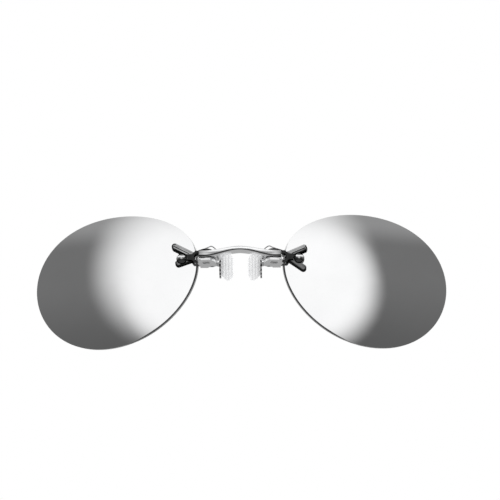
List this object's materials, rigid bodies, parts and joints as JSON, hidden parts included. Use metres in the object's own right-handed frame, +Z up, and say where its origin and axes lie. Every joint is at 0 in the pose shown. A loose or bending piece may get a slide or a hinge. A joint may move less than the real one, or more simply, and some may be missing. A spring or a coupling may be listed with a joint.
{
  "type": "nose-clip sunglasses",
  "caption": "Rimless nose-clip sunglasses with mirrored oval lenses, an arched metal bridge, spring-hinged wings and clear soft nose pads.",
  "frame": {"origin": "midway between the crowns of the two nose pads, at the middle of their height", "axes": "+X to the wearer's left, -Y out of the front of the lenses, +Z up"},
  "size_m": [0.132, 0.0201, 0.0423],
  "materials": {
    "mirror_lens": "mirror coated, smooth",
    "polished_metal": "polished",
    "dark_metal": "dark polished nickel",
    "spring_steel": "drawn wire",
    "clear_rubber": "clear soft, ribbed",
    "clear_plastic": "clear"
  },
  "bodies": {
    "bridge": {"bridge": "polished_metal", "right_hinge_spring": "spring_steel", "left_hinge_spring": "spring_steel"},
    "right_wing": {"right_lens_bracket": "dark_metal", "right_lens": "mirror_lens", "right_hinge_screw": "dark_metal", "right_hinge_washer": "polished_metal", "right_hinge_sleeve": "polished_metal", "right_lens_screw": "dark_metal", "right_lens_front_washer": "clear_plastic", "right_lens_bush": "clear_plastic", "right_lens_rear_washer": "clear_plastic", "right_lens_nut": "dark_metal", "right_pad_arm": "polished_metal", "right_pad_rivet": "dark_metal", "right_nose_pad": "clear_rubber"},
    "left_wing": {"left_lens_bracket": "dark_metal", "left_lens": "mirror_lens", "left_hinge_screw": "dark_metal", "left_hinge_washer": "polished_metal", "left_hinge_sleeve": "polished_metal", "left_lens_screw": "dark_metal", "left_lens_front_washer": "clear_plastic", "left_lens_bush": "clear_plastic", "left_lens_rear_washer": "clear_plastic", "left_lens_nut": "dark_metal", "left_pad_arm": "polished_metal", "left_pad_rivet": "dark_metal", "left_nose_pad": "clear_rubber"}
  },
  "joints": [
    {"name": "right_wing_hinge", "type": "hinge", "parent": "bridge", "child": "right_wing", "pos_m": [0.0107, -0.0074, 0.0008], "axis": [0, 0, -1], "range_deg": [0, 32], "stiffness_Nm_per_rad": 0.03, "springref_deg": -14.32},
    {"name": "left_wing_hinge", "type": "hinge", "parent": "bridge", "child": "left_wing", "pos_m": [-0.0107, -0.0074, 0.0008], "axis": [0, 0, 1], "range_deg": [0, 32], "stiffness_Nm_per_rad": 0.03, "springref_deg": -14.32}
  ]
}
